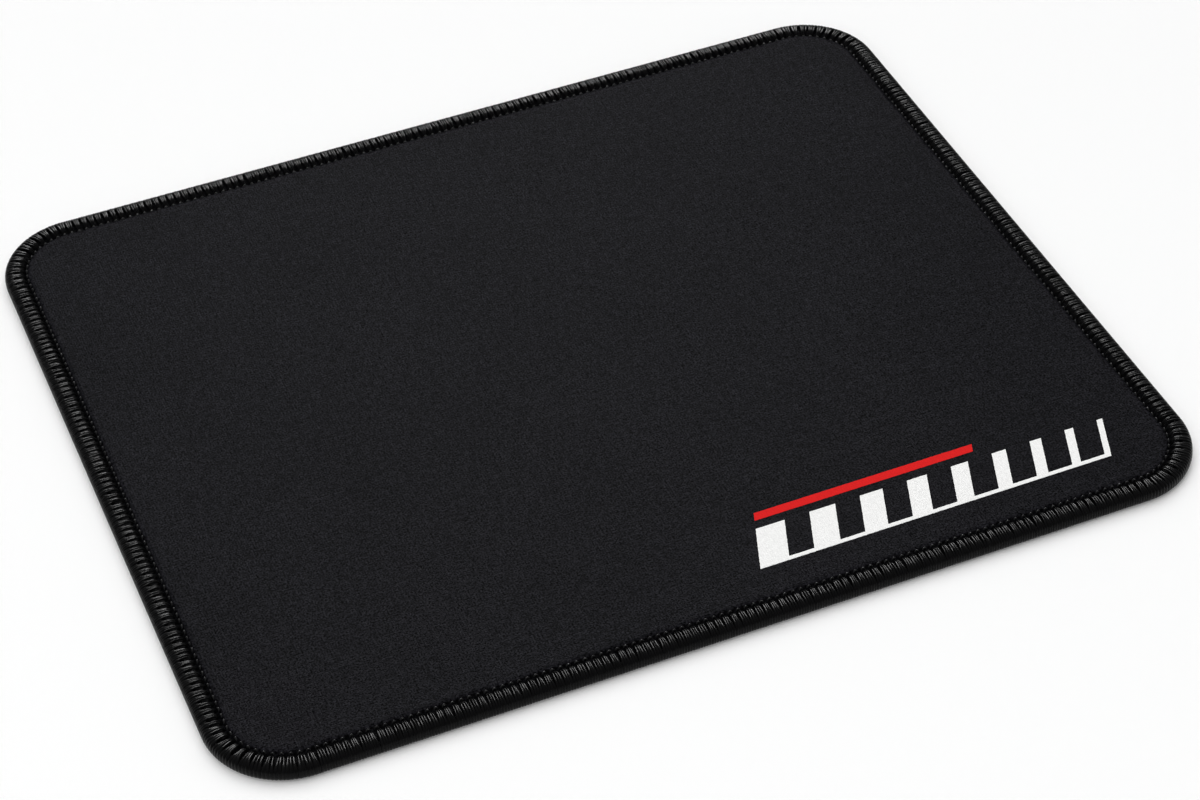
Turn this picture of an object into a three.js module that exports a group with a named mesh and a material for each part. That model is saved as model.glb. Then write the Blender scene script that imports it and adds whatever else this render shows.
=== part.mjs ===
// A cloth mouse pad with an overlocked edge. A woven face is bonded by a hot-melt film to a sheet of foam
// rubber, and three threads bind the cut edge: a needle thread that runs along the face, and two looper
// threads that wrap the edge over the top and underneath. Millimetres, +Z up, the long side along X, with
// the origin at the middle of the underside.
import * as THREE from "three";

// Overall size, over the outside of the bound edge
const padLength = 250;
const padWidth = 210;
const cornerRadius = 20.4;

// The sheet's layers, from the underside up
const rubberThickness = 3.38;
const filmThickness = 0.1;
const clothThickness = 0.48;
const bondGap = 0.02; // between bonded layers, and under the ink

// Across the bound edge
const needleInset = 5.85; // from the outside of the edge in to the needle line
const wrapThickness = 0.85; // looper threads round the cut edge
const wrapGap = 0.12; // slack between the threads and the sheet
const beadMiddle = 2.0; // height of the bead's widest line
const beadReach = 2.5; // of the bead's round underside, inward from its widest line
const shoulderFullness = 2.8; // power of the curve from there up to the crest, 2 for an ellipse
const crestRise = 0.57; // how far the bead stands above the face
const crestOutset = 2.5; // highest line of the bead, outward from the needle line
const cutOutset = 3.5; // cut edge of the cloth inside the bead, outward from the needle line
const edgeDraw = 0.56; // how far the wrap pulls the cut edge down
const valleyDepth = 0.9; // of the valley that the tight stitches leave between the face and the bead
const valleyOutset = 0.7; // bottom of the valley, outward from the needle line
const valleyLip = 0.5; // where the flat face ends, inward from the needle line
const toeOutset = 0.4; // end of the upper looper thread, beside the needle thread
const toeThickness = 0.25; // looper threads where the needle thread holds them
const underToe = 0.6; // reach of the lower looper thread past the needle line
const reliefRamp = 0.9; // slope in the underside, up to where the lower looper thread lies

// Along the bound edge
const stitchPitch = 2.0;
const ribDepth = 0.22; // dip between one wrap and the next
const toeScallop = 0.2; // how far the wraps' toes stand back between two stitches
const needleThreadWidth = 0.6;
const needleThreadHeight = 0.22;
const needleThreadDip = 0.17; // drop of the needle thread where it goes down through the sheet

// The print in the front right corner: slanted bars on a base line, and a stripe above them
const inkThickness = 0.05;
const printLength = 93;
const printRightMargin = 18; // from the outside of the pad's right edge
const printFrontMargin = 15; // from the outside of the pad's front edge
const printSlant = THREE.MathUtils.degToRad(20);
const barCount = 9;
const barHeight = 12.5;
const widestBar = 7.5;
const narrowestBar = 1.6;
const baseLineWidth = 1.1;
const stripeWidth = 2.4;
const stripeLength = 58;
const stripeClearance = 2.6; // between the bars and the stripe

// How finely the round stretches are faceted
const cornerSteps = 8;
const straightStep = 10;

// Heights that follow from the layers
const filmBottom = rubberThickness + bondGap;
const clothBottom = filmBottom + filmThickness + bondGap;
const sheetTop = clothBottom + clothThickness;
const crestHeight = sheetTop + crestRise;
const valleyHeight = sheetTop - valleyDepth + wrapGap; // underside of the looper thread in the valley
const footHeight = valleyHeight + toeThickness;

// The middle of the bead's underside, outward from the needle line, and how deep in the bead the sheet ends
const beadCentre = needleInset - beadReach;
const coreDepth = wrapThickness + wrapGap;

// The needle line, a rounded rectangle followed anticlockwise from the front end of the right side
const needleRadius = cornerRadius - needleInset;
const quarterTurn = (needleRadius * Math.PI) / 2;
const straightX = padLength - 2 * cornerRadius;
const straightY = padWidth - 2 * cornerRadius;
const sides = [straightY, straightX, straightY, straightX];
const sideStarts = sides.map((_, k) => sides.slice(0, k).reduce((sum, side) => sum + side + quarterTurn, 0));
const perimeter = 2 * (straightX + straightY) + 4 * quarterTurn;
const turnCentres = [
  [straightX / 2, straightY / 2],
  [-straightX / 2, straightY / 2],
  [-straightX / 2, -straightY / 2],
  [straightX / 2, -straightY / 2],
];

// The point that lies outset outward from the needle line and height up, at a distance along that line.
// Each side is followed by the turn at its far end.
function pointAt(distance, outset, height) {
  const side = sideStarts.findLastIndex((start) => distance >= start);
  const along = Math.min(distance - sideStarts[side], sides[side]);
  const short = sides[side] - along; // of the turn
  const turned = (distance - sideStarts[side] - along) / needleRadius;
  const facing = (side * Math.PI) / 2;
  const reach = needleRadius + outset;
  const [x, y] = turnCentres[side];
  return new THREE.Vector3(
    x + reach * Math.cos(facing + turned) + short * Math.sin(facing),
    y + reach * Math.sin(facing + turned) - short * Math.cos(facing),
    height,
  );
}

// Stations along the needle line where plain surfaces have their corners
function layStations(step) {
  const stations = [];
  let start = 0;
  for (const side of sides) {
    const runs = Math.max(1, Math.round(side / step));
    for (let k = 0; k < runs; k++) stations.push(start + (side * k) / runs);
    start += side;
    for (let k = 0; k < cornerSteps; k++) stations.push(start + (quarterTurn * k) / cornerSteps);
    start += quarterTurn;
  }
  return stations;
}

// Two stations to a stitch: even ones on a stitch, odd ones between two stitches
function stitchStations() {
  const count = 2 * Math.round(perimeter / stitchPitch);
  return Array.from({ length: count }, (_, k) => (perimeter * k) / count);
}

const isBetween = (k) => k % 2;
const sheetStations = layStations(Infinity);
const threadStations = layStations(straightStep);
const ribStations = stitchStations();
const holeStations = ribStations.filter((_, k) => isBetween(k));

// A closed line round the pad; place gives its outset and height at each station
function loop(stations, place) {
  const points = stations.map((distance, k) => pointAt(distance, ...place(k)));
  return { stations, points };
}

const evenLoop = (stations, outset, height) => loop(stations, () => [outset, height]);

// The outset and height of a place so deep inside the bead. Its skin is a round underside at negative angles,
// then a full shoulder up to the crest at 90 degrees, and a steep curve from there down to the valley.
function beadPlace(depth, degrees) {
  const angle = THREE.MathUtils.degToRad(degrees);
  const [across, up] = [Math.cos(angle), Math.sin(angle)];
  if (degrees < 0) {
    return [beadCentre + (beadReach - depth) * across, beadMiddle + (beadMiddle - depth) * up];
  }
  if (degrees > 90) {
    const [reach, rise] = [crestOutset - valleyOutset, crestHeight - footHeight];
    return [crestOutset + (reach - depth) * across, footHeight + (rise - depth) * up];
  }
  const [reach, rise] = [needleInset - crestOutset, crestHeight - beadMiddle];
  const bend = (share) => Math.max(share, 0) ** (2 / shoulderFullness);
  return [crestOutset + (reach - depth) * bend(across), beadMiddle + (rise - depth) * bend(up)];
}

// A closed body whose skin runs over loops in order, outward underneath, up, and inward on top.
// A ring joins its last loop to its first. A sheet has a flat face inside its first loop and its last.
function skinBody(loops, isSheet) {
  const positions = [];
  const faces = [];
  const firsts = loops.map(({ points }) => {
    const first = positions.length / 3;
    points.forEach((p) => positions.push(p.x, p.y, p.z));
    return first;
  });

  function zip(a, b) {
    const [from, to] = [loops[a], loops[b]];
    const [countA, countB] = [from.points.length, to.points.length];
    const next = (line, k) => (k + 1 < line.stations.length ? line.stations[k + 1] : perimeter);
    let i = 0;
    let j = 0;
    while (i < countA || j < countB) {
      const pointA = firsts[a] + (i % countA);
      const pointB = firsts[b] + (j % countB);
      if (j === countB || (i < countA && next(from, i) <= next(to, j))) {
        i++;
        faces.push(pointA, firsts[a] + (i % countA), pointB);
      } else {
        j++;
        faces.push(pointA, firsts[b] + (j % countB), pointB);
      }
    }
  }

  function cap(index, facesUp) {
    const { points } = loops[index];
    const middle = positions.length / 3;
    positions.push(0, 0, points[0].z);
    points.forEach((_, k) => {
      const here = firsts[index] + k;
      const ahead = firsts[index] + ((k + 1) % points.length);
      faces.push(middle, facesUp ? here : ahead, facesUp ? ahead : here);
    });
  }

  const last = loops.length - 1;
  for (let k = 0; k < last; k++) zip(k, k + 1);
  if (isSheet) {
    cap(0, false);
    cap(last, true);
  } else {
    zip(last, 0);
  }
  const geometry = new THREE.BufferGeometry();
  geometry.setAttribute("position", new THREE.Float32BufferAttribute(positions, 3));
  geometry.setIndex(faces);
  geometry.computeVertexNormals();
  return geometry;
}

// One side of a layer, from the flat face down the valley and up to the cut edge inside the bead
const drawnSide = (height) => [
  evenLoop(sheetStations, -valleyLip, height),
  evenLoop(sheetStations, valleyOutset, height - valleyDepth),
  evenLoop(sheetStations, cutOutset, height - edgeDraw),
];

// Height of the face on the slope from its flat part to the bottom of the valley
const slopeHeight = (outset) => sheetTop - (valleyDepth * (outset + valleyLip)) / (valleyOutset + valleyLip);

// A thin layer that follows the face out to its cut edge inside the bead
function layerBody(bottom, thickness) {
  return skinBody([...drawnSide(bottom), ...drawnSide(bottom + thickness).reverse()], true);
}

// The foam rubber sheet: relieved underneath for the lower looper thread, with a squeezed round edge
function rubberBody() {
  const reliefStart = underToe + wrapGap;
  const roundEdge = [-45, 0, 20].map((degrees) => evenLoop(sheetStations, ...beadPlace(coreDepth, degrees)));
  const underside = [
    evenLoop(sheetStations, -reliefStart - reliefRamp, 0),
    evenLoop(sheetStations, -reliefStart, toeThickness + wrapGap),
    evenLoop(sheetStations, beadCentre, coreDepth),
  ];
  return skinBody([...underside, ...roundEdge, ...drawnSide(rubberThickness).reverse()], true);
}

// The upper looper thread: wraps side by side, from the needle line over the top and round the outside
function upperLooperBody() {
  const heel = evenLoop(threadStations, ...beadPlace(0, -58));
  const ribs = [0, 45, 90, 135].map((degrees) =>
    loop(ribStations, (k) => beadPlace(ribDepth * isBetween(k), degrees)),
  );
  const toe = loop(ribStations, (k) => {
    const outset = toeOutset + toeScallop * isBetween(k);
    return [outset, slopeHeight(outset) + wrapGap + toeThickness];
  });
  const foot = loop(ribStations, (k) => [
    valleyOutset + toeScallop * isBetween(k),
    footHeight - (ribDepth / 2) * isBetween(k),
  ]);
  const inside = [
    evenLoop(threadStations, toeOutset + toeScallop, slopeHeight(toeOutset + toeScallop) + wrapGap),
    evenLoop(threadStations, valleyOutset, valleyHeight),
    evenLoop(threadStations, cutOutset, sheetTop - edgeDraw + wrapGap),
    ...[60, 20, 0, -45].map((degrees) => evenLoop(threadStations, ...beadPlace(wrapThickness, degrees))),
  ];
  return skinBody([heel, ...ribs, foot, toe, ...inside], false);
}

// The lower looper thread: flat under the edge, level with the rubber's underside
function lowerLooperBody() {
  const meeting = -65; // degrees round the bead, just under the end of the upper looper thread
  return skinBody(
    [
      evenLoop(sheetStations, -underToe, 0),
      evenLoop(sheetStations, beadCentre, 0),
      evenLoop(sheetStations, ...beadPlace(0, meeting)),
      evenLoop(sheetStations, ...beadPlace(wrapThickness, meeting)),
      evenLoop(sheetStations, beadCentre, wrapThickness),
      evenLoop(sheetStations, -underToe, toeThickness),
    ],
    false,
  );
}

// The needle thread: one row of stitches on the slope, each arched between the holes it goes down through
function needleBody() {
  const halfWidth = needleThreadWidth / 2;
  const seat = (outset) => slopeHeight(outset) + wrapGap;
  const stitches = loop(ribStations, (k) => {
    return [0, seat(0) + needleThreadHeight - needleThreadDip * isBetween(k)];
  });
  const under = [-halfWidth, halfWidth].map((outset) => evenLoop(holeStations, outset, seat(outset)));
  return skinBody([...under, stitches], false);
}

// Slanted bars that thin out to the right, standing on a base line
function barsShape() {
  const lean = (y) => y * Math.tan(printSlant);
  const widths = Array.from({ length: barCount }, (_, k) =>
    THREE.MathUtils.lerp(widestBar, narrowestBar, k / (barCount - 1)),
  );
  const inked = widths.reduce((sum, width) => sum + width, 0);
  const space = (printLength - inked) / (barCount - 1);
  const shape = new THREE.Shape();
  shape.moveTo(0, 0);
  shape.lineTo(printLength, 0);
  let right = printLength;
  for (const width of widths.toReversed()) {
    shape.lineTo(right + lean(baseLineWidth), baseLineWidth);
    shape.lineTo(right + lean(barHeight), barHeight);
    shape.lineTo(right - width + lean(barHeight), barHeight);
    shape.lineTo(right - width + lean(baseLineWidth), baseLineWidth);
    right -= width + space;
  }
  return shape;
}

// A stripe with slanted ends, in line with the bars' left side
function stripeShape() {
  const bottom = barHeight + stripeClearance;
  const lean = (y) => y * Math.tan(printSlant);
  const shape = new THREE.Shape();
  shape.moveTo(lean(bottom), bottom);
  shape.lineTo(lean(bottom) + stripeLength, bottom);
  shape.lineTo(lean(bottom + stripeWidth) + stripeLength, bottom + stripeWidth);
  shape.lineTo(lean(bottom + stripeWidth), bottom + stripeWidth);
  return shape;
}

const inkBody = (shape) => new THREE.ExtrudeGeometry(shape, { depth: inkThickness, bevelEnabled: false });

const rubber = new THREE.MeshStandardMaterial({ color: 0x19191a, roughness: 0.9, metalness: 0 });
const adhesive = new THREE.MeshStandardMaterial({ color: 0xd9d4c6, roughness: 0.5, metalness: 0 });
const cloth = new THREE.MeshStandardMaterial({ color: 0x29292c, roughness: 0.95, metalness: 0 });
const thread = new THREE.MeshStandardMaterial({ color: 0x141416, roughness: 0.55, metalness: 0 });
const whiteInk = new THREE.MeshStandardMaterial({ color: 0xf1f1f0, roughness: 0.7, metalness: 0 });
const redInk = new THREE.MeshStandardMaterial({ color: 0xdd1a1a, roughness: 0.7, metalness: 0 });

const mousePad = new THREE.Group();

function addPiece(name, geometry, material, parent = mousePad) {
  const mesh = new THREE.Mesh(geometry, material);
  mesh.name = name;
  parent.add(mesh);
}

addPiece("rubber_base", rubberBody(), rubber);
addPiece("bonding_film", layerBody(filmBottom, filmThickness), adhesive);
addPiece("cloth_face", layerBody(clothBottom, clothThickness), cloth);
addPiece("upper_looper_thread", upperLooperBody(), thread);
addPiece("lower_looper_thread", lowerLooperBody(), thread);
addPiece("needle_thread", needleBody(), thread);

const print = new THREE.Group();
print.position.set(
  padLength / 2 - printRightMargin - printLength - barHeight * Math.tan(printSlant),
  printFrontMargin - padWidth / 2,
  sheetTop + bondGap,
);
addPiece("white_print", inkBody(barsShape()), whiteInk, print);
addPiece("red_print", inkBody(stripeShape()), redInk, print);
mousePad.add(print);

export default mousePad;
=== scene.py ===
"""The looks of a cloth mouse pad with an overlocked edge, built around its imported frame. Metres, +Z up."""
import math

import bpy
import numpy as np
from mathutils import Matrix, Vector
from mathutils.geometry import delaunay_2d_cdt


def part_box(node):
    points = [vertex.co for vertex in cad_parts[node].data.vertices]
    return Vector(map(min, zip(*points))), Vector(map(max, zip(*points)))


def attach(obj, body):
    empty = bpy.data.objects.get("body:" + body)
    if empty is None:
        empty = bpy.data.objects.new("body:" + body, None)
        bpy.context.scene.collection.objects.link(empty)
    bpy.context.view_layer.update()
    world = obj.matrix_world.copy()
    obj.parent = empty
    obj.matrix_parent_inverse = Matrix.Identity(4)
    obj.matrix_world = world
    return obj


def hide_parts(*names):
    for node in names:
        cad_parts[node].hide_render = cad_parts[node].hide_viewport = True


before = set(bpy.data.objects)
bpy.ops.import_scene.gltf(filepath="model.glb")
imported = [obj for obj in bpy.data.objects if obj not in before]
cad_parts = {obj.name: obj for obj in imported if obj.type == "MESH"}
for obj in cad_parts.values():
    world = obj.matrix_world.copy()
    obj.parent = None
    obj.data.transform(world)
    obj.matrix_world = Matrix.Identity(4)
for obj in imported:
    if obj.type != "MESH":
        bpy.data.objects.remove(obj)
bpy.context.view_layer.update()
rng = np.random.default_rng(11)

MM = 0.001

# The pad's size and layers, from the frame
wrap_low, wrap_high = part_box("upper_looper_thread")
PAD_LENGTH = wrap_high.x - wrap_low.x
PAD_WIDTH = wrap_high.y - wrap_low.y
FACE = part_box("cloth_face")[1].z
CLOTH_THICKNESS = 0.48 * MM
FILM_THICKNESS = 0.1 * MM
BOND_GAP = 0.02 * MM
INK_THICKNESS = 0.05 * MM

# Across the bound edge, as in the frame
CORNER_RADIUS = 20.4 * MM
NEEDLE_INSET = 5.85 * MM  # from the outside of the edge in to the needle line
BEAD_MIDDLE = 2.0 * MM  # height of the bead's widest line
BEAD_REACH = 2.5 * MM  # of the bead's round underside, inward from its widest line
SHOULDER_FULLNESS = 2.8  # power of the curve from there up to the crest, 2 for an ellipse
CREST_OUTSET = 2.5 * MM  # highest line of the bead
CREST_HEIGHT = wrap_high.z
CORE_DEPTH = 0.97 * MM  # from the skin of the bead in to the squeezed edge of the sheet
CUT_OUTSET = 3.5 * MM  # cut edge of the cloth
EDGE_DRAW = 0.56 * MM  # how far the wrap pulls the cut edge down
VALLEY_DEPTH = 1.1 * MM
VALLEY_OUTSET = 0.7 * MM  # lowest line of the valley between the cloth and the bead
VALLEY_LIP = 1.0 * MM  # how far inside the needle line the cloth starts to fall
VALLEY_SOFTNESS = 1.25  # how gently it does so, more than 1 for a slow start
FOOT_HEIGHT = FACE - 0.53 * MM  # top of the looper thread in the valley

# The needle line, a rounded rectangle followed anticlockwise from the front end of the right side
SIDE_NAMES = ("right", "back", "left", "front")
NEEDLE_RADIUS = CORNER_RADIUS - NEEDLE_INSET
QUARTER_TURN = NEEDLE_RADIUS * math.pi / 2
HALF_STRAIGHT = np.array([PAD_LENGTH, PAD_WIDTH]) / 2 - CORNER_RADIUS
STRAIGHTS = 2 * HALF_STRAIGHT[[1, 0, 1, 0]]
SIDE_STARTS = np.concatenate([[0], np.cumsum(STRAIGHTS + QUARTER_TURN)[:-1]])
TURN_CENTRES = HALF_STRAIGHT * np.array([[1, 1], [-1, 1], [-1, -1], [1, -1]])
PERIMETER = np.sum(STRAIGHTS + QUARTER_TURN)
STITCH_LENGTH = 2.0 * MM  # before it is made to fit the perimeter
STITCH_COUNT = round(PERIMETER / STITCH_LENGTH)
PITCH = PERIMETER / STITCH_COUNT


def edge_turn(distance):
    """The side, the way round it, and the angle that the edge faces, at distances along the needle line."""
    distance = np.asarray(distance) % PERIMETER
    side = np.searchsorted(SIDE_STARTS, distance, side="right") - 1
    past = distance - SIDE_STARTS[side]
    facing = side * math.pi / 2 + np.maximum(past - STRAIGHTS[side], 0) / NEEDLE_RADIUS
    return side, past, facing


def edge_points(distance, outset, height):
    """Points at distances along the needle line, so far outward from it and so high up."""
    side, past, facing = edge_turn(distance)
    short = np.maximum(STRAIGHTS[side] - past, 0)
    reach = NEEDLE_RADIUS + outset
    x = TURN_CENTRES[side, 0] + reach * np.cos(facing) + short * np.sin(side * math.pi / 2)
    y = TURN_CENTRES[side, 1] + reach * np.sin(facing) - short * np.cos(side * math.pi / 2)
    return np.stack(np.broadcast_arrays(x, y, height), axis=-1)


def edge_directions(distance):
    """The directions outward from the edge and forward along it."""
    facing = edge_turn(distance)[2]
    level = np.zeros_like(facing)
    outward = np.stack([np.cos(facing), np.sin(facing), level], axis=-1)
    forward = np.stack([-np.sin(facing), np.cos(facing), level], axis=-1)
    return outward, forward


def edge_spread(distance, outset):
    """How much wider apart stitches stand at an outset than at the needle line: over 1 in the turns."""
    side, past, _ = edge_turn(distance)
    return np.where(past > STRAIGHTS[side], 1 + outset / NEEDLE_RADIUS, 1)


def field(step, outset):
    """Points of a square grid that covers the pad out to an outset from the needle line."""
    reach = HALF_STRAIGHT + NEEDLE_RADIUS + outset
    lines = [np.linspace(-end, end, round(2 * end / step) + 1) for end in reach]
    grid = np.stack(np.meshgrid(*lines), axis=-1).reshape(-1, 2)
    return grid[within(grid, outset)]


def within(flat_points, outset):
    """Which points lie inside the needle line moved outward by an outset."""
    past_turns = np.maximum(np.abs(flat_points) - HALF_STRAIGHT, 0)
    return np.hypot(past_turns[:, 0], past_turns[:, 1]) < NEEDLE_RADIUS + outset


def ease(share):
    """A smooth step from 0 to 1."""
    share = np.clip(share, 0, 1)
    return share * share * (3 - 2 * share)


def smooth_curve(knots, count):
    """Points spread evenly along a smooth curve through the knots."""
    knots = np.asarray(knots, float)
    ends = [2 * knots[:1] - knots[1:2], knots, 2 * knots[-1:] - knots[-2:-1]]
    padded = np.concatenate(ends)
    before, here, ahead, beyond = (padded[k : len(knots) - 1 + k, None] for k in range(4))
    steps_to_a_knot = 12
    t = np.linspace(0, 1, steps_to_a_knot, endpoint=False)[:, None]
    cubic = 3 * (here - ahead) + beyond - before
    square = 2 * before - 5 * here + 4 * ahead - beyond
    dense = here + t / 2 * (ahead - before + t * (square + t * cubic))
    dense = np.concatenate([dense.reshape(-1, 2), knots[-1:]])
    walked = np.concatenate([[0], np.cumsum(np.hypot(*np.diff(dense, axis=0).T))])
    even = np.linspace(0, walked[-1], count)
    return np.stack([np.interp(even, walked, dense[:, axis]) for axis in range(2)], axis=-1)


# Each tube's chart for baked textures is a cell of a grid
CELL_SHAPE = 7  # length of a cell against its width
CELL_MARGIN = 0.06
GRAIN_RANGE = 50  # how far apart along the grain pattern the tubes may begin


class Draft:
    """The points and faces of one mesh, while it is being made."""

    def __init__(self):
        self.points = np.empty((0, 3))
        self.faces = []
        self.atlas = []
        self.grain = None

    def add(self, points):
        """Adds points, and gives their numbers in the same arrangement."""
        first = len(self.points)
        self.points = np.concatenate([self.points, np.reshape(points, (-1, 3))])
        return np.arange(first, len(self.points)).reshape(np.shape(points)[:-1])

    def skin(self, rows):
        """Joins closed rows of points by four-sided faces: outward underneath, up, and inward on top."""
        ahead = np.roll(rows, -1, axis=1)
        quads = np.stack([rows[:-1], ahead[:-1], ahead[1:], rows[1:]], axis=-1)
        self.faces += quads.reshape(-1, 4).tolist()

    def fill(self, rim, inner, lines=(), faces_up=True):
        """A face inside a closed row of points, through inner points, some of them joined by lines."""
        outline = self.points[rim]
        numbers = np.concatenate([rim, self.add(inner)])
        flat = np.concatenate([outline, np.reshape(inner, (-1, 3))])[:, :2]
        count = len(rim)
        border = [(k, (k + 1) % count) for k in range(count)]
        kept_lines = [(count + a, count + b) for a, b in lines]
        flat_points = [Vector(point) for point in flat.tolist()]
        keep_inside, tolerance = 1, 1e-9
        _, _, triangles, sources, _, _ = delaunay_2d_cdt(
            flat_points, border + kept_lines, [], keep_inside, tolerance)
        for triangle in triangles:
            corners = [int(numbers[sources[k][0]]) for k in triangle]
            self.faces.append(corners if faces_up else corners[::-1])

    def tubes(self, centres, side, up, half_width, half_height, sides):
        """Closed tubes round lines of centres, laid out side by side for baked textures."""
        count, rings = centres.shape[:2]
        angle = np.arange(sides) * 2 * math.pi / sides
        across = np.cos(angle)[:, None] * side[:, :, None] * half_width[:, :, None, None]
        above = np.sin(angle)[:, None] * up[:, :, None] * half_height[:, :, None, None]
        numbers = self.add(centres[:, :, None] + across + above)
        ahead = np.roll(numbers, -1, axis=2)
        quads = np.stack([numbers[:, :-1], ahead[:, :-1], ahead[:, 1:], numbers[:, 1:]], axis=-1)
        self.faces += quads.reshape(-1, 4).tolist()
        self.faces += numbers[:, 0, ::-1].tolist() + numbers[:, -1].tolist()

        rows = math.ceil(math.sqrt(count * CELL_SHAPE))
        columns = math.ceil(count / rows)
        column, row = np.divmod(np.arange(count), rows)
        along = column[:, None] + np.linspace(CELL_MARGIN, 1 - CELL_MARGIN, rings)
        around = row[:, None] + np.linspace(CELL_MARGIN, 1 - CELL_MARGIN, sides + 1)
        along = np.broadcast_to(along[:, :, None] / columns, (count, rings, sides + 1))
        around = np.broadcast_to(around[:, None, :] / rows, (count, rings, sides + 1))
        chart = np.stack([along, around], axis=-1)
        corners = [chart[:, :-1, :-1], chart[:, :-1, 1:], chart[:, 1:, 1:], chart[:, 1:, :-1]]
        self.atlas += [np.stack(corners, axis=-2).reshape(-1, 2)]
        self.atlas += [chart[:, 0, -2::-1].reshape(-1, 2), chart[:, -1, :-1].reshape(-1, 2)]

        walked = np.linspace(0, 1, rings)[None, :, None] + rng.uniform(0, GRAIN_RANGE, (count, 1, 1))
        grain = np.broadcast_arrays(np.cos(angle), np.sin(angle), walked)
        self.grain = np.stack(grain, axis=-1).reshape(-1, 3)

    def piece(self, name, node, slot, material):
        """The finished mesh as a piece that stands for a node of the frame."""
        mesh = bpy.data.meshes.new(name)
        mesh.from_pydata(self.points.tolist(), [], self.faces)
        mesh.polygons.foreach_set("use_smooth", np.ones(len(self.faces), bool))
        mesh.materials.append(material)
        if self.atlas:
            layer = mesh.uv_layers.new(name="OFBake")
            layer.uv.foreach_set("vector", np.concatenate(self.atlas).ravel())
            grain = mesh.attributes.new("grain", "FLOAT_VECTOR", "POINT")
            grain.data.foreach_set("vector", self.grain.ravel())
        mesh.validate()
        obj = bpy.data.objects.new(name, mesh)
        bpy.context.scene.collection.objects.link(obj)
        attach(obj, "root")
        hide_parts(node)
        return obj


class Finish:
    """A procedural material. Its methods add nodes and give their outputs, or set the shader."""

    def __init__(self, name, colour, roughness, specular=0.5):
        self.material = bpy.data.materials.new(name)
        self.material.use_nodes = True
        self.tree = self.material.node_tree
        self.shader = self.tree.nodes["Principled BSDF"]
        self.colour = (*colour, 1)
        self.set("Base Color", self.colour)
        self.set("Roughness", roughness)
        self.set("Specular IOR Level", specular)

    def set(self, socket, value):
        if isinstance(value, bpy.types.NodeSocket):
            self.tree.links.new(value, self.shader.inputs[socket])
        else:
            self.shader.inputs[socket].default_value = value

    def node(self, kind, inputs, output=0, **settings):
        node = self.tree.nodes.new("ShaderNode" + kind)
        for key, value in settings.items():
            setattr(node, key, value)
        for key, value in inputs.items():
            if isinstance(value, bpy.types.NodeSocket):
                self.tree.links.new(value, node.inputs[key])
            else:
                node.inputs[key].default_value = value
        return node.outputs[output]

    def place(self):
        return self.node("TexCoord", {}, "Object")

    def math(self, operation, a, b=0.0):
        return self.node("Math", {0: a, 1: b}, operation=operation)

    def product(self, *factors):
        total = factors[0]
        for factor in factors[1:]:
            total = self.math("MULTIPLY", total, factor)
        return total

    def stretch(self, place, factors):
        return self.node("VectorMath", {0: place, 1: factors}, operation="MULTIPLY")

    def noise(self, place, size, detail=2.0, roughness=0.5):
        settings = {"Vector": place, "Scale": 1 / size, "Detail": detail, "Roughness": roughness}
        return self.node("TexNoise", settings)

    def spread(self, value, low, high):
        """A value's range from 0.3 to 0.7, where most noise lies, moved to another range."""
        ranges = {"From Min": 0.3, "From Max": 0.7, "To Min": low, "To Max": high}
        return self.node("MapRange", {"Value": value, **ranges})

    def shade(self, factor):
        """The base colour times a factor."""
        scaled = self.node("VectorMath", {0: self.colour[:3], "Scale": factor}, operation="SCALE")
        self.set("Base Color", scaled)

    def bump(self, height, depth, strength=1.0):
        settings = {"Height": height, "Distance": depth, "Strength": strength}
        self.set("Normal", self.node("Bump", settings))


# Cloth: a plain weave, one thread over and one under, with uneven yarn
WEAVE_PITCH = 0.6 * MM
CLOTH_COLOUR = (0.0092, 0.0091, 0.0108)
CLOTH_ROUGHNESS = 0.3
CLOTH_ROUGHNESS_SPREAD = 0.08
CLOTH_SPECULAR = 0.0011
YARN_SIZE = 0.7 * MM
YARN_STRETCHES = ((0.3, 1, 1), (1, 0.3, 1))  # for the yarns along the pad and across it
SLUB_SIZE = 0.45 * MM
CLOUD_SIZE = 45 * MM
PAINTED_SHADE_TOP = FACE - 0.15 * MM  # painted shade: from here down into the valley that the stitches draw in, the cloth's colour is darkened
PAINTED_SHADE_BOTTOM = FACE - 0.5 * MM
PAINTED_SHADE_DARKEST = 0.3


def weave_height(finish, place):
    """The height of a plain weave, from 0 in its holes to 1 on its threads."""
    axes = finish.node("SeparateXYZ", {"Vector": place}).node
    waves = [finish.math("MULTIPLY", axes.outputs[axis], math.pi / WEAVE_PITCH) for axis in "XY"]
    warp, weft = (finish.math("SINE", wave) for wave in waves)
    over = finish.math("MULTIPLY_ADD", finish.math("MULTIPLY", warp, weft), 0.5)
    over.node.inputs[2].default_value = 0.5
    threads = {"Factor": over, "A": finish.math("ABSOLUTE", weft), "B": finish.math("ABSOLUTE", warp)}
    return finish.node("Mix", threads)


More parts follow.
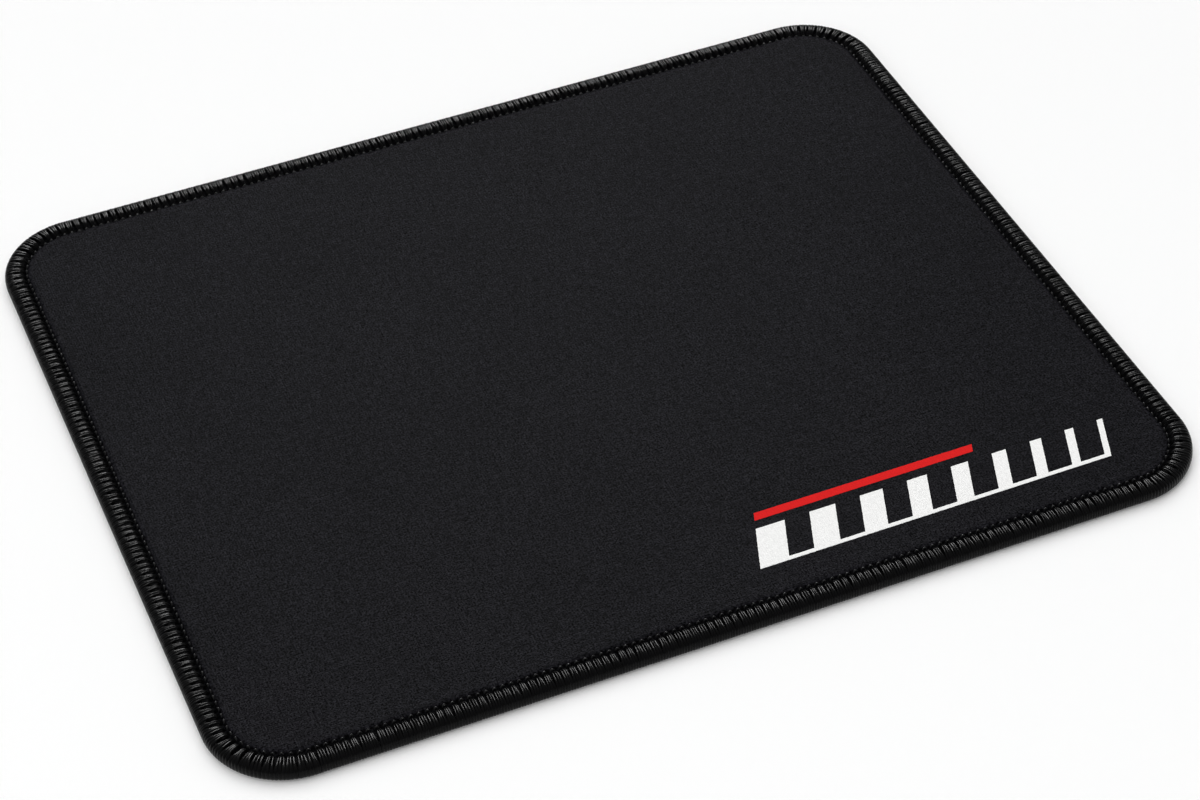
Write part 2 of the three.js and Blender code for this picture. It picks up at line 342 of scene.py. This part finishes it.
def make_cloth():
    finish = Finish("woven_polyester", CLOTH_COLOUR, CLOTH_ROUGHNESS, CLOTH_SPECULAR)
    place = finish.place()
    weave = weave_height(finish, place)
    yarns = [finish.noise(finish.stretch(place, factors), YARN_SIZE, detail=1) for factors in YARN_STRETCHES]
    yarn = finish.node("Mix", {"Factor": 0.5, "A": yarns[0], "B": yarns[1]})
    cloud = finish.noise(place, CLOUD_SIZE)
    slubs = finish.noise(place, SLUB_SIZE, detail=1)
    height = finish.node("SeparateXYZ", {"Vector": place}, "Z")
    # painted shade: the cloth's colour darkened with depth in the stitched valley
    painted_shade = {"From Min": PAINTED_SHADE_BOTTOM, "From Max": PAINTED_SHADE_TOP, "To Min": PAINTED_SHADE_DARKEST}
    finish.shade(finish.product(
        finish.spread(yarn, 0.6, 1.4),
        finish.spread(cloud, 0.93, 1.07),
        finish.spread(slubs, 0.15, 1.85),
        finish.node("MapRange", {"Value": height, **painted_shade}),
        # painted shade and light: darker in the weave's holes, lighter on its threads
        finish.node("MapRange", {"Value": weave, "To Min": 0.7, "To Max": 1.15}),
    ))
    roughest = CLOTH_ROUGHNESS + CLOTH_ROUGHNESS_SPREAD
    smoothest = CLOTH_ROUGHNESS - CLOTH_ROUGHNESS_SPREAD
    finish.set("Roughness", finish.spread(slubs, roughest, smoothest))
    relief = finish.math("ADD", finish.math("MULTIPLY", weave, 0.4), finish.math("ADD", yarn, slubs))
    finish.bump(relief, 0.12 * MM, 0.5)
    return finish.material


# Thread, rubber, film and ink
FILAMENT_STRETCH = (1, 1, 0.8)  # round a strand, then along it
FILAMENT_SIZE = 0.45
LENGTHWISE = (0, 0, 0.5)
PORE_SIZE = 0.35 * MM


def make_thread(name, colour, roughness, specular):
    finish = Finish(name, colour, roughness, specular)
    grain = finish.node("Attribute", {}, "Vector", attribute_name="grain")
    filaments = finish.noise(finish.stretch(grain, FILAMENT_STRETCH), FILAMENT_SIZE)
    finish.shade(finish.spread(filaments, 0.6, 1.4))
    strand = finish.noise(finish.stretch(grain, LENGTHWISE), 1.0, detail=0)
    finish.set("Roughness", finish.spread(strand, 0.8 * roughness, 1.4 * roughness))
    finish.bump(filaments, 0.06 * MM, 0.7)
    return finish.material


def make_rubber():
    finish = Finish("foam_rubber", (0.02, 0.02, 0.021), 0.85, specular=0.3)
    place = finish.place()
    pores = finish.noise(place, PORE_SIZE, detail=3, roughness=0.65)
    cloud = finish.noise(place, 30 * MM)
    finish.shade(finish.product(finish.spread(pores, 0.8, 1.15), finish.spread(cloud, 0.92, 1.08)))
    finish.bump(pores, 0.08 * MM, 0.5)
    return finish.material


def make_film():
    finish = Finish("hot_melt_film", (0.7, 0.66, 0.56), 0.45)
    ripple = finish.noise(finish.place(), 6 * MM)
    finish.shade(finish.spread(ripple, 0.94, 1.04))
    finish.bump(ripple, 0.05 * MM, 0.3)
    return finish.material


def make_ink(name, colour):
    finish = Finish(name, colour, 0.6, specular=0.005)
    place = finish.place()
    weave = weave_height(finish, place)
    coat = finish.noise(place, 0.8 * MM, detail=3)
    # painted shade: the ink darker in the weave's holes
    weave_hollow_shade = finish.node("MapRange", {"Value": weave, "To Min": 0.92, "To Max": 1.0})
    finish.shade(finish.product(finish.spread(coat, 0.93, 1.03), weave_hollow_shade))
    finish.bump(weave, 0.08 * MM, 0.4)
    return finish.material


CLOTH = make_cloth()
RUBBER = make_rubber()
FILM = make_film()
THREAD = make_thread("bulked_polyester_thread", (0.0026, 0.0026, 0.0028), roughness=0.24, specular=0.07)
NEEDLE_THREAD = make_thread("spun_polyester_thread", (0.014, 0.014, 0.0145), roughness=0.36, specular=0.13)
WHITE_INK = make_ink("white_screen_ink", (0.94, 0.94, 0.93))
RED_INK = make_ink("red_screen_ink", (0.72, 0.015, 0.015))

# The sheet's layers, each drawn down at its rim by the stitching
HOLE_DEPTH = 0.3 * MM  # dents in the cloth where the needle went through
HOLE_SPREAD = 0.38 * MM
PUCKER = 0.05 * MM  # how far the cloth stands up between two needle holes
PUCKER_INSET = 0.75 * MM  # the highest line of that, and how far it spreads to both sides
RIM_STEPS = np.array([-4, -2.2, -1.3, -0.8, -0.5, -0.3, -0.15, 0, 0.15, 0.3, 0.5, 0.8, 1.4, 2.4]) * MM
RIM_OUTSETS = np.append(RIM_STEPS, CUT_OUTSET)
FIELD_STEP = 5 * MM


def drawn_down(outset):
    """How far the stitching draws a layer down, at an outset from the needle line."""
    share = np.clip((outset + VALLEY_LIP) / (VALLEY_OUTSET + VALLEY_LIP), 0, 1)
    fall = VALLEY_DEPTH * ease(share**VALLEY_SOFTNESS)
    rise = (VALLEY_DEPTH - EDGE_DRAW) * ease((outset - VALLEY_OUTSET) / (CUT_OUTSET - VALLEY_OUTSET))
    return fall - rise


def needle_dents(distance, outset):
    """How far the needle thread presses the cloth in round its holes, which lie midway between the ribs."""
    to_hole = np.abs(distance / PITCH % 1 - 0.5) * PITCH
    dent = HOLE_DEPTH * np.exp(-(to_hole**2 + outset**2) / HOLE_SPREAD**2)
    across = np.exp(-((outset / PUCKER_INSET + 1) ** 2))
    swell = PUCKER * across * np.cos(2 * math.pi * distance / PITCH)
    return dent - swell


def even_stations(per_stitch):
    return np.arange(STITCH_COUNT * per_stitch) * PITCH / per_stitch


def at_height(flat_points, height):
    return np.insert(flat_points, 2, height, axis=1)


def sheet_layer(name, node, slot, material, top, thickness, rim, per_stitch, dented):
    """A thin layer out to its cut edge, with its rim drawn down."""
    stations = even_stations(per_stitch)
    outsets = rim[:, None]
    upper = top - drawn_down(outsets) + 0 * stations
    lower = upper - thickness
    if dented:
        upper = upper - needle_dents(stations, outsets)
    draft = Draft()
    under = draft.add(edge_points(stations, outsets, lower))
    over = draft.add(edge_points(stations, outsets, upper))
    draft.skin(np.concatenate([under, over[::-1]]))
    inner = field(FIELD_STEP, rim[0] - FIELD_STEP / 2)
    draft.fill(under[0], at_height(inner, top - thickness), faces_up=False)
    draft.fill(over[0], at_height(inner, top))
    return draft.piece(name, node, slot, material)


cloth = sheet_layer(
    "cloth", "cloth_face", "cloth", CLOTH, FACE, CLOTH_THICKNESS, RIM_OUTSETS, per_stitch=4, dented=True)
film_top = FACE - CLOTH_THICKNESS - BOND_GAP
film = sheet_layer(  # short of the cut, so that none of it shows between the threads
    "film", "bonding_film", "film", FILM, film_top, FILM_THICKNESS, RIM_STEPS, per_stitch=1, dented=False)

# The foam rubber, with wavy anti-slip ribs underneath and a round edge squeezed by the threads
RIB_PITCH = 3 * MM
RIB_SHARES = (0, 0.45, 0.58, 0.87)  # of the pitch: both sides of a rib's flat, then of the groove after it
GROOVE_DEPTH = 0.3 * MM
WAVE_LENGTH = 12 * MM
WAVE_HEIGHT = 1.2 * MM
WAVE_STEP = WAVE_LENGTH / 8
RIBBED_OUTSET = -3.2 * MM  # where the ribs end, short of the relief for the thread
PLAIN_OUTSET = RIBBED_OUTSET + 0.6 * MM  # where the plain border outside them starts
RELIEF_START = -1.62 * MM
RELIEF_END = -0.72 * MM
RELIEF_HEIGHT = 0.37 * MM
ROUND_EDGE = np.linspace(-90, 20, 9)  # degrees round the bead, as in bead_place


def rubber_ribs():
    """The points of the ribbed underside, and the lines along its ribs and grooves."""
    reach = HALF_STRAIGHT + NEEDLE_RADIUS
    x = np.arange(-reach[0], reach[0], WAVE_STEP)
    starts = np.arange(-reach[1] - RIB_PITCH, reach[1], RIB_PITCH)
    rows = (starts[:, None] + RIB_PITCH * np.array(RIB_SHARES)).ravel()
    heights = np.tile([0, 0, GROOVE_DEPTH, GROOVE_DEPTH], len(starts))
    y = rows[:, None] + WAVE_HEIGHT * np.sin(2 * math.pi * x / WAVE_LENGTH)
    points = np.stack(np.broadcast_arrays(x, y, heights[:, None]), axis=-1)
    kept = within(points.reshape(-1, 3)[:, :2], RIBBED_OUTSET).reshape(y.shape)
    numbers = np.cumsum(kept).reshape(y.shape) - 1
    joined = kept[:, :-1] & kept[:, 1:]
    lines = np.stack([numbers[:, :-1][joined], numbers[:, 1:][joined]], axis=-1)
    return points[kept], lines.tolist()


def bead_place(depth, degrees):
    """Places so deep in the bead: round below, a full shoulder to the crest at 90 degrees, then steep."""
    degrees = np.asarray(degrees)
    across, up = np.cos(np.radians(degrees)), np.sin(np.radians(degrees))
    is_shoulder = (degrees >= 0) & (degrees <= 90)
    across = np.where(is_shoulder, np.abs(across) ** (2 / SHOULDER_FULLNESS), across)
    up = np.where(is_shoulder, np.abs(up) ** (2 / SHOULDER_FULLNESS), up)
    stretches = [degrees > 90, is_shoulder]
    middle = np.select(stretches, [CREST_OUTSET, CREST_OUTSET], NEEDLE_INSET - BEAD_REACH)
    base = np.select(stretches, [FOOT_HEIGHT, BEAD_MIDDLE], BEAD_MIDDLE)
    reach = np.select(stretches, [CREST_OUTSET - VALLEY_OUTSET, NEEDLE_INSET - CREST_OUTSET], BEAD_REACH)
    rise = np.select(stretches, [CREST_HEIGHT - FOOT_HEIGHT, CREST_HEIGHT - BEAD_MIDDLE], BEAD_MIDDLE)
    return np.stack([middle + (reach - depth) * across, base + (rise - depth) * up], axis=-1)


def rubber_sheet():
    stations = even_stations(1)
    top = film_top - FILM_THICKNESS - BOND_GAP
    underside = [(PLAIN_OUTSET, 0), (RELIEF_START, 0), (RELIEF_END, RELIEF_HEIGHT)]
    round_edge = bead_place(CORE_DEPTH, ROUND_EDGE)
    rim = RIM_OUTSETS[::-1]
    section = np.concatenate([underside, round_edge, np.stack([rim, top - drawn_down(rim)], axis=-1)])
    draft = Draft()
    rows = draft.add(edge_points(stations, section[:, :1], section[:, 1:]))
    draft.skin(rows)
    ribs, lines = rubber_ribs()
    draft.fill(rows[0], ribs, lines, faces_up=False)
    draft.fill(rows[-1], at_height(field(FIELD_STEP, rim[-1] - FIELD_STEP / 2), top))
    return draft.piece("rubber", "rubber_base", "rubber", RUBBER)


rubber = rubber_sheet()

# The upper looper thread: a bundle of strands to a stitch, gathered at the needle line
STRAND_COUNT = 3
STRAND_RADIUS = 0.25 * MM  # on top of the bead
STRAND_DEPTH = 0.3 * MM  # of a strand's middle inside the bead's skin
STRAND_PINCH = 0.1 * PITCH  # from strand to strand where the needle thread holds them
STRAND_SPACINGS = np.array([0.235, 0.25, 0.18, 0.26]) * PITCH  # on the crest, in the order of SIDE_NAMES
SPACING_RANGE = (0.8, 1.25)  # of a stitch's spacing on the crest, against its side's
STITCH_JITTER = 0.12 * MM  # how far a bundle strays along the edge
STRAND_WANDER = 0.1 * MM  # how far one strand does, in waves
WANDER_TURNS = (0.8, 1.8)  # half waves in a strand's length
WANDER_PHASES = (0, 6)
FLAT_CALM = 0.6  # share of the straying that is lost where the strands lie flat
TOE_RADIUS = 0.18 * MM
FLAT_HEIGHT = 0.22 * MM  # half a strand's height on the outside of the bead, where it lies flat
FLAT_WIDTH = 0.42 * MM
STRAND_RINGS = 24
STRAND_SIDES = 8
CREST_SHARE = 0.27  # of a strand's length, up to the crest of the bead
OUTSIDE_SHARE = 0.62  # the same up to where the strands lie flat
MIDDLE_RAISED = 0.1 * MM  # how far the middle strand of a stitch stands up
OUTER_SUNK = 1.5  # how far below it the outer two lie, as a multiple of that
STRAND_RISES = (-0.12 * MM, 0.06 * MM)  # unevenness of all strands
PLUMPNESS = (0.78, 1.12)  # of a strand's radius on top of the bead
STRAND_TOE = np.array([(0.4, 2.9), (0.62, 3.1), (0.86, 3.42), (1.1, 3.8)]) * MM  # outsets and heights
STRAND_ANGLES = (140, 118, 100, 85, 70, 55, 40, 25, 8, -12, -35, -58, -78)  # from the toe over the bead


def strand_section(knots, rings):
    """A strand's section across the edge, with the direction square to it."""
    section = smooth_curve(knots, rings)
    run = np.gradient(section, axis=0)
    run /= np.linalg.norm(run, axis=1, keepdims=True)
    return section, np.stack([-run[:, 1], run[:, 0]], axis=-1)


def strand_tubes(draft, section, square, distance, lift, half_width, half_height, sides):
    """Tubes that follow a section across the edge, at distances along it and lifted off the section."""
    outset = section[:, 0] + lift * square[:, 0]
    height = section[:, 1] + lift * square[:, 1]
    outward, forward = edge_directions(distance)
    up = outward * square[:, :1] + np.array([0, 0, 1]) * square[:, 1:]
    half_width = half_width * edge_spread(distance, outset)
    centres = edge_points(distance, outset, height)
    draft.tubes(centres, forward, up, half_width, half_height + 0 * outset, sides)


def stitches_of_side(side):
    """The stitches of one side of the pad, to the middle of the turn at each end."""
    places = np.arange(STITCH_COUNT) * PITCH
    shifted = (places + QUARTER_TURN / 2) % PERIMETER
    return places[np.searchsorted(SIDE_STARTS, shifted, side="right") - 1 == side]


def upper_looper(side):
    """The strands of one side's stitches, from the valley over the crest and round the outside."""
    over = bead_place(STRAND_DEPTH, STRAND_ANGLES)
    section, square = strand_section(np.concatenate([STRAND_TOE, over]), STRAND_RINGS)
    stitches = stitches_of_side(side)
    middle = np.repeat(stitches, STRAND_COUNT)[:, None]
    place = np.tile(np.arange(STRAND_COUNT) - (STRAND_COUNT - 1) / 2, len(stitches))[:, None]
    along = np.linspace(0, 1, STRAND_RINGS)

    def vary(low, high):
        return rng.uniform(low, high, (len(middle), 1))

    def vary_stitches(low, high):
        return np.repeat(rng.uniform(low, high, len(stitches)), STRAND_COUNT)[:, None]

    climbed = ease(along / CREST_SHARE)
    flattened = ease((along - CREST_SHARE) / (OUTSIDE_SHARE - CREST_SHARE))
    crest_spacing = STRAND_SPACINGS[side] * vary_stitches(*SPACING_RANGE)
    spacing = STRAND_PINCH + (crest_spacing - STRAND_PINCH) * climbed
    spacing = spacing + (PITCH / STRAND_COUNT - spacing) * flattened
    swing = vary(-STRAND_WANDER, STRAND_WANDER)
    wander = swing * np.sin(along * math.pi * vary(*WANDER_TURNS) + vary(*WANDER_PHASES))
    wander = wander + STITCH_JITTER * vary_stitches(-1, 1)
    distance = middle + place * spacing + wander * climbed * (1 - FLAT_CALM * flattened)
    raised = MIDDLE_RAISED * (1 - OUTER_SUNK * np.abs(place)) + vary(*STRAND_RISES)
    flat_lift = STRAND_DEPTH - FLAT_HEIGHT
    lift = raised * climbed * (1 - flattened) + flat_lift * flattened
    plump = TOE_RADIUS + (STRAND_RADIUS * vary(*PLUMPNESS) - TOE_RADIUS) * climbed
    half_width = plump + (FLAT_WIDTH - plump) * flattened
    half_height = plump + (FLAT_HEIGHT - plump) * flattened
    draft = Draft()
    strand_tubes(draft, section, square, distance, lift, half_width, half_height, STRAND_SIDES)
    return draft.piece("upper_stitches_" + SIDE_NAMES[side], "upper_looper_thread", "thread", THREAD)


for side in range(len(SIDE_NAMES)):
    upper_looper(side)

# The lower looper thread: flat strands underneath that reach up between the ends of the upper ones
LOWER_HALF_HEIGHT = 0.19 * MM
LOWER_HALF_WIDTH = 0.3 * MM
LOWER_RINGS = 12
LOWER_SIDES = 6
LOWER_LEVEL = LOWER_HALF_HEIGHT + 0.01 * MM  # of the strands' middle above the ground
LOWER_TOE = (-0.55 * MM, 0.34 * MM)  # outset and height of their inner ends
LOWER_FLAT = np.array([-0.2, 1, 2.4]) * MM  # outsets along their flat stretch
LOWER_ANGLES = (-88, -75, -62, -50)  # up round the bead
LOWER_PINCH = 0.12 * PITCH  # from a stitch's middle to each of its two strands, at the toe
LOWER_SPREAD = 0.1 * PITCH  # how much wider they stand further out
LOWER_SPREAD_SHARE = 0.4  # of their length, in which they spread
LOWER_WANDER = 0.12 * MM


def lower_looper():
    knots = [LOWER_TOE] + [(outset, LOWER_LEVEL) for outset in LOWER_FLAT]
    knots += bead_place(LOWER_LEVEL, LOWER_ANGLES).tolist()
    section, square = strand_section(knots, LOWER_RINGS)
    stitches = np.arange(STITCH_COUNT) * PITCH + PITCH / 2
    middle = np.repeat(stitches, 2)[:, None]
    strand = np.tile([-1, 1], STITCH_COUNT)[:, None]
    along = np.linspace(0, 1, LOWER_RINGS)
    wander = rng.uniform(-LOWER_WANDER, LOWER_WANDER, (len(middle), 1)) * np.sin(along * math.pi)
    apart = LOWER_PINCH + LOWER_SPREAD * ease(along / LOWER_SPREAD_SHARE)
    distance = middle + strand * apart + wander
    lift = 0 * distance
    draft = Draft()
    strand_tubes(draft, section, -square, distance, lift, -LOWER_HALF_WIDTH, LOWER_HALF_HEIGHT, LOWER_SIDES)
    return draft.piece("lower_stitches", "lower_looper_thread", "thread", THREAD)


lower_looper()

# The needle thread: one stitch over each rib, down through the cloth at both ends
NEEDLE_THREAD_RADIUS = 0.21 * MM
NEEDLE_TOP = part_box("needle_thread")[1].z
NEEDLE_RINGS = 9
NEEDLE_SIDES = 8
NEEDLE_STRAY = 0.06 * MM  # along the edge
NEEDLE_SLANT = 0.12 * MM  # across it, from end to end of a stitch
NEEDLE_SINK = 0.06 * MM  # how far a stitch may lie below the highest ones
STITCH_FOOT = FACE - 0.95 * MM
STITCH_SPAN = 0.48 * PITCH  # between the places where a stitch comes up and goes down
SPAN_RANGE = (0.8, 1.1)
ARCH_FULLNESS = 0.7  # power of the arch, 1 for half a sine wave


def needle_stitches():
    def vary(low, high):
        return rng.uniform(low, high, (STITCH_COUNT, 1))

    along = np.linspace(0, 1, NEEDLE_RINGS)
    middle = np.arange(STITCH_COUNT)[:, None] * PITCH
    middle = middle + vary(-NEEDLE_STRAY, NEEDLE_STRAY)
    distance = middle + (along - 0.5) * STITCH_SPAN * vary(*SPAN_RANGE)
    crown = NEEDLE_TOP - NEEDLE_THREAD_RADIUS + vary(-NEEDLE_SINK, 0)
    arch = np.sin(along * math.pi).clip(0) ** ARCH_FULLNESS
    height = STITCH_FOOT + (crown - STITCH_FOOT) * arch
    slant = vary(-NEEDLE_SLANT, NEEDLE_SLANT) * (along - 0.5)
    centres = edge_points(distance, slant, height)
    run = np.gradient(centres, axis=1)
    run /= np.linalg.norm(run, axis=2, keepdims=True)
    outward = edge_directions(distance)[0]
    up = np.cross(run, outward)
    up /= np.linalg.norm(up, axis=2, keepdims=True)
    side = np.cross(up, run)
    radius = np.broadcast_to(NEEDLE_THREAD_RADIUS, distance.shape)
    draft = Draft()
    draft.tubes(centres, side, up, radius, radius, NEEDLE_SIDES)
    return draft.piece("needle_stitches", "needle_thread", "needle_thread", NEEDLE_THREAD)


needle_stitches()

# The print: slanted bars that thin out to the right on a base line, and a stripe above them
PRINT_LOW, PRINT_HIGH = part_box("white_print")
STRIPE_LOW, STRIPE_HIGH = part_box("red_print")
PRINT_SLANT = math.tan(math.radians(20))
BAR_HEIGHT = PRINT_HIGH.y - PRINT_LOW.y
BAR_COUNT = 9
WIDEST_BAR = 7.5 * MM
NARROWEST_BAR = 1.6 * MM
BASE_LINE = 1.1 * MM
INK_STEP = 0.4 * MM
INK_EDGE = 0.035 * MM  # unevenness of the ink's edge over the weave


def bars_outline():
    length = PRINT_HIGH.x - PRINT_LOW.x - BAR_HEIGHT * PRINT_SLANT
    widths = np.linspace(WIDEST_BAR, NARROWEST_BAR, BAR_COUNT)
    gap = (length - widths.sum()) / (BAR_COUNT - 1)
    outline = [(0, 0), (length, 0)]
    right = length
    for width in widths[::-1]:
        left = right - width
        for x, y in ((right, BASE_LINE), (right, BAR_HEIGHT), (left, BAR_HEIGHT), (left, BASE_LINE)):
            outline.append((x + y * PRINT_SLANT, y))
        right = left - gap
    return np.array(outline) + np.array(PRINT_LOW[:2])


def stripe_outline():
    lean = (STRIPE_HIGH.y - STRIPE_LOW.y) * PRINT_SLANT
    outline = [(STRIPE_LOW.x, STRIPE_LOW.y), (STRIPE_HIGH.x - lean, STRIPE_LOW.y)]
    return np.array(outline + [(STRIPE_HIGH.x, STRIPE_HIGH.y), (STRIPE_LOW.x + lean, STRIPE_HIGH.y)])


def ink_film(name, node, slot, material, outline):
    """A film of ink on the cloth, with edges slightly uneven from the weave."""
    line = []
    for here, ahead in zip(outline, np.roll(outline, -1, axis=0)):
        steps = max(1, round(np.linalg.norm(ahead - here) / INK_STEP))
        line.append(here + (ahead - here) * np.arange(steps)[:, None] / steps)
    line = np.concatenate(line)
    line += rng.uniform(-INK_EDGE, INK_EDGE, line.shape)
    draft = Draft()
    bottom = FACE + BOND_GAP / 2
    rows = np.stack([draft.add(at_height(line, z)) for z in (bottom, bottom + INK_THICKNESS)])
    draft.skin(rows)
    draft.fill(rows[0], np.empty((0, 3)), faces_up=False)
    draft.fill(rows[1], np.empty((0, 3)))
    piece = draft.piece(name, node, slot, material)
    piece.data.polygons.foreach_set("use_smooth", np.zeros(len(draft.faces), bool))
    return piece


ink_film("white_ink", "white_print", "white_ink", WHITE_INK, bars_outline())
ink_film("red_ink", "red_print", "red_ink", RED_INK, stripe_outline())

# The camera, at the photograph's viewing angle
CAMERA_AZIMUTH = math.radians(-21.315)
CAMERA_ELEVATION = math.radians(42.079)
CAMERA_ROLL = math.radians(2.166)
CAMERA_DISTANCE = 0.766
CAMERA_TARGET = Vector((-0.0002, -0.0163, 0))
CAMERA_LENS = 92.31

level = math.cos(CAMERA_ELEVATION)
back = Vector((
    math.sin(CAMERA_AZIMUTH) * level,
    -math.cos(CAMERA_AZIMUTH) * level,
    math.sin(CAMERA_ELEVATION),
))
right = Vector((0, 0, 1)).cross(back).normalized()
upward = back.cross(right)
rolled_right = math.cos(CAMERA_ROLL) * right - math.sin(CAMERA_ROLL) * upward
rolled_upward = math.sin(CAMERA_ROLL) * right + math.cos(CAMERA_ROLL) * upward
camera_data = bpy.data.cameras.new("camera")
camera_data.lens = CAMERA_LENS
camera_data.sensor_width = 36
camera_data.clip_start = 0.01
camera = bpy.data.objects.new("camera", camera_data)
turn = Matrix((rolled_right, rolled_upward, back)).transposed()
camera.matrix_world = Matrix.Translation(CAMERA_TARGET + back * CAMERA_DISTANCE) @ turn.to_4x4()
bpy.context.scene.collection.objects.link(camera)
bpy.context.scene.camera = camera

# The floor and the light
FLOOR_HALF = 30.0
FLOOR_COLOUR = (0.995, 0.995, 0.995)
FLOOR_BOUNCE = 0.25  # share of its colour in the light that it gives back to the pad


def background_share(finish):
    """1 for what is seen directly, in a reflection or through a surface, and 0 for light given back."""
    path = finish.node("LightPath", {}).node
    seen = finish.math("MAXIMUM", path.outputs["Is Camera Ray"], path.outputs["Is Glossy Ray"])
    return finish.math("MAXIMUM", seen, path.outputs["Is Transmission Ray"])


def make_floor():
    finish = Finish("pale_floor", FLOOR_COLOUR, 0.9, specular=0.0)
    seen = background_share(finish)
    finish.shade(finish.node("MapRange", {"Value": seen, "To Min": FLOOR_BOUNCE, "To Max": 1.0}))
    return finish.material


floor_mesh = bpy.data.meshes.new("floor")
corners = [(x * FLOOR_HALF, y * FLOOR_HALF, 0) for x, y in ((-1, -1), (1, -1), (1, 1), (-1, 1))]
floor_mesh.from_pydata(corners, [], [(0, 1, 2, 3)])
floor_mesh.materials.append(make_floor())
floor = bpy.data.objects.new("floor", floor_mesh)
bpy.context.scene.collection.objects.link(floor)


def area_lamp(name, azimuth, elevation, distance, size, share, diffuse=True, glossy=True):
    """A lamp that gives a level surface this share of the light at which a colour renders as written."""
    a, e = math.radians(azimuth), math.radians(elevation)
    direction = Vector((math.sin(a) * math.cos(e), -math.cos(a) * math.cos(e), math.sin(e)))
    data = bpy.data.lights.new(name, "AREA")
    data.shape = "RECTANGLE"
    data.size, data.size_y = size
    data.energy = share * math.pi**2 * distance**2 / math.sin(e)
    lamp = bpy.data.objects.new(name, data)
    lamp.location = direction * distance
    lamp.rotation_euler = direction.to_track_quat("Z", "Y").to_euler()
    lamp.visible_camera = False
    lamp.visible_diffuse = diffuse
    lamp.visible_glossy = glossy
    bpy.context.scene.collection.objects.link(lamp)


area_lamp("overhead", azimuth=160, elevation=66, distance=2.8, size=(2.8, 2.8), share=0.45, glossy=False)
area_lamp("fill", azimuth=-38, elevation=52, distance=2.8, size=(2.8, 2.8), share=0.46, glossy=False)
area_lamp("rim", azimuth=163, elevation=43.5, distance=2.2, size=(1.1, 1.25), share=2.3, diffuse=False)

# The room: lighter behind the pad, darker in front of it
ROOM_BACK = 0.34
ROOM_FRONT = 0.26
ROOM_DIRECTION = (0.37, 0.93, 0.3)  # towards its lightest part
ROOM_BLEND = (-0.5, 0.7)  # how far in this direction the darker part ends and the lightest begins
world = bpy.data.worlds.new("studio")
bpy.context.scene.world = world
world.use_nodes = True
nodes, links = world.node_tree.nodes, world.node_tree.links
sky = nodes["Background"]
sky.inputs["Color"].default_value = (1, 1, 1, 1)
place = nodes.new("ShaderNodeTexCoord")
facing = nodes.new("ShaderNodeVectorMath")
facing.operation = "DOT_PRODUCT"
facing.inputs[1].default_value = ROOM_DIRECTION
links.new(place.outputs["Generated"], facing.inputs[0])
room = nodes.new("ShaderNodeMapRange")
links.new(facing.outputs["Value"], room.inputs["Value"])
blend = {"From Min": ROOM_BLEND[0], "From Max": ROOM_BLEND[1], "To Min": ROOM_FRONT, "To Max": ROOM_BACK}
for name, value in blend.items():
    room.inputs[name].default_value = value
links.new(room.outputs[0], sky.inputs["Strength"])
bpy.context.scene.view_settings.view_transform = "Standard"
